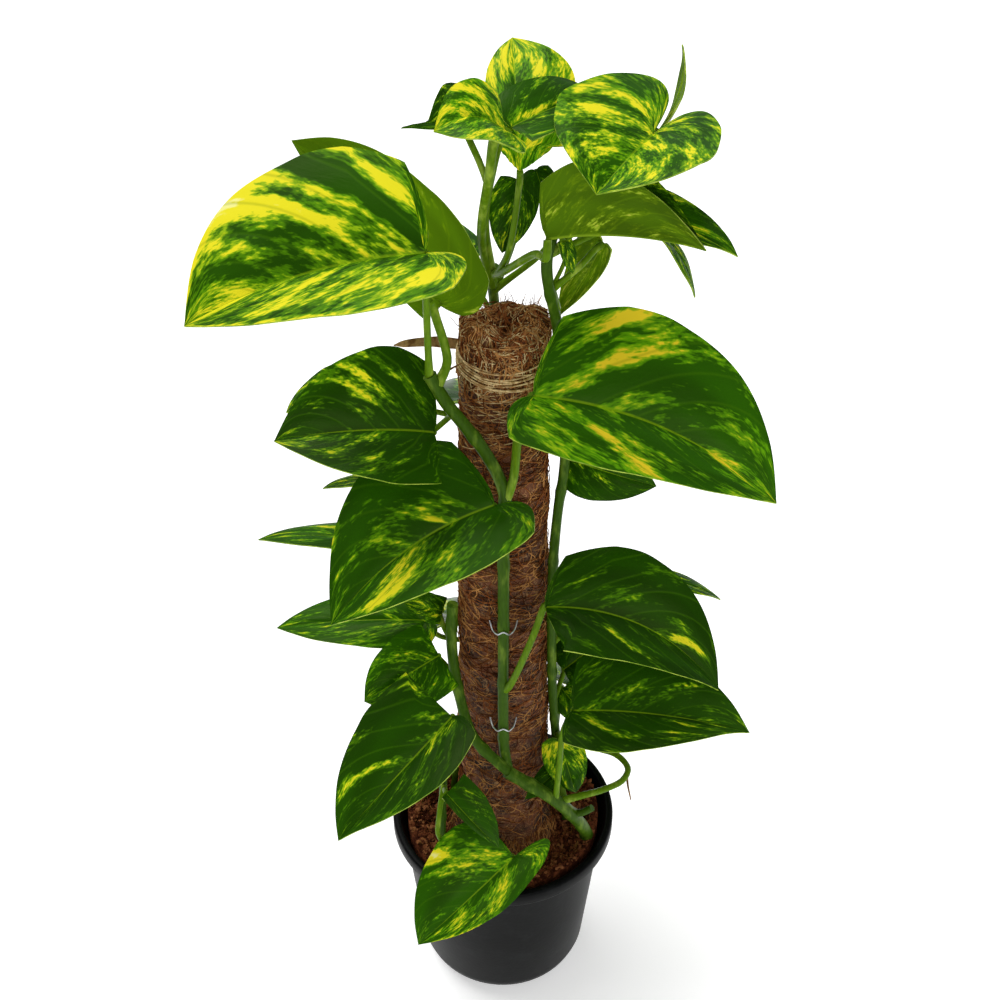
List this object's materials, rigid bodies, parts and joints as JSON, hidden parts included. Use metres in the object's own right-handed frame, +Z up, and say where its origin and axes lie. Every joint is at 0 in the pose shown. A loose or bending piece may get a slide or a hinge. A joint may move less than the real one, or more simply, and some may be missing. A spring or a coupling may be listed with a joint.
{
  "type": "potted climbing pothos",
  "caption": "Climbing pothos with variegated heart-shaped leaves on a coir pole, in a round black nursery pot.",
  "frame": {"origin": "centre of the pot's foot, on the surface it stands on", "axes": "+Z up along the coir pole; the plant's show side looks towards -Y"},
  "size_m": [0.2921, 0.2565, 0.6675],
  "materials": {
    "pot_plastic": "satin black, lightly scuffed",
    "soil": "loose coarse coco peat, moist",
    "core": "rough",
    "coir": "matted plant fibre",
    "twine": "dry straw",
    "wire": "bright wire",
    "dry_sheath": "dry, papery",
    "stem": "smooth, green",
    "leaf": "waxy, semi-gloss, variegated yellow-green"
  },
  "bodies": {
    "root": {"pot": "pot_plastic", "soil": "soil", "pole_core": "core", "coir_sleeve": "coir", "twine": "twine", "wire_pin_upper": "wire", "wire_pin_lower": "wire", "dry_sheath": "dry_sheath", "vine_main": "stem", "vine_right": "stem", "vine_back": "stem", "vine_left": "stem", "vine_pot_front": "stem", "crown_left": "leaf", "crown_left_back": "leaf", "upper_left": "leaf", "mid_left": "leaf", "upper_right": "leaf", "upper_right_back": "leaf", "mid_right": "leaf", "mid_right_thin": "leaf", "mid_right_inner": "leaf", "low_right_inner": "leaf", "low_right": "leaf", "low_left": "leaf", "low_left_round": "leaf", "mid_left_back": "leaf", "mid_left_small": "leaf", "left_thin": "leaf", "left_dark": "leaf", "upper_left_back": "leaf", "crown_peak": "leaf", "crown_front": "leaf", "crown_front_right": "leaf", "crown_right": "leaf", "crown_spike": "leaf", "crown_right_back": "leaf", "crown_right_front": "leaf", "crown_drooping": "leaf", "crown_hanging": "leaf", "pole_top_right": "leaf", "crown_inner": "leaf", "crown_curled": "leaf", "crown_left_small": "leaf", "soil_right": "leaf", "soil_right_dark": "leaf", "pot_front": "leaf", "pot_front_folded": "leaf", "back_crown_left": "leaf", "back_upper_right": "leaf", "back_upper_left": "leaf", "back_centre": "leaf", "back_mid_right": "leaf", "back_mid_left": "leaf", "back_low_right": "leaf"}
  },
  "joints": []
}
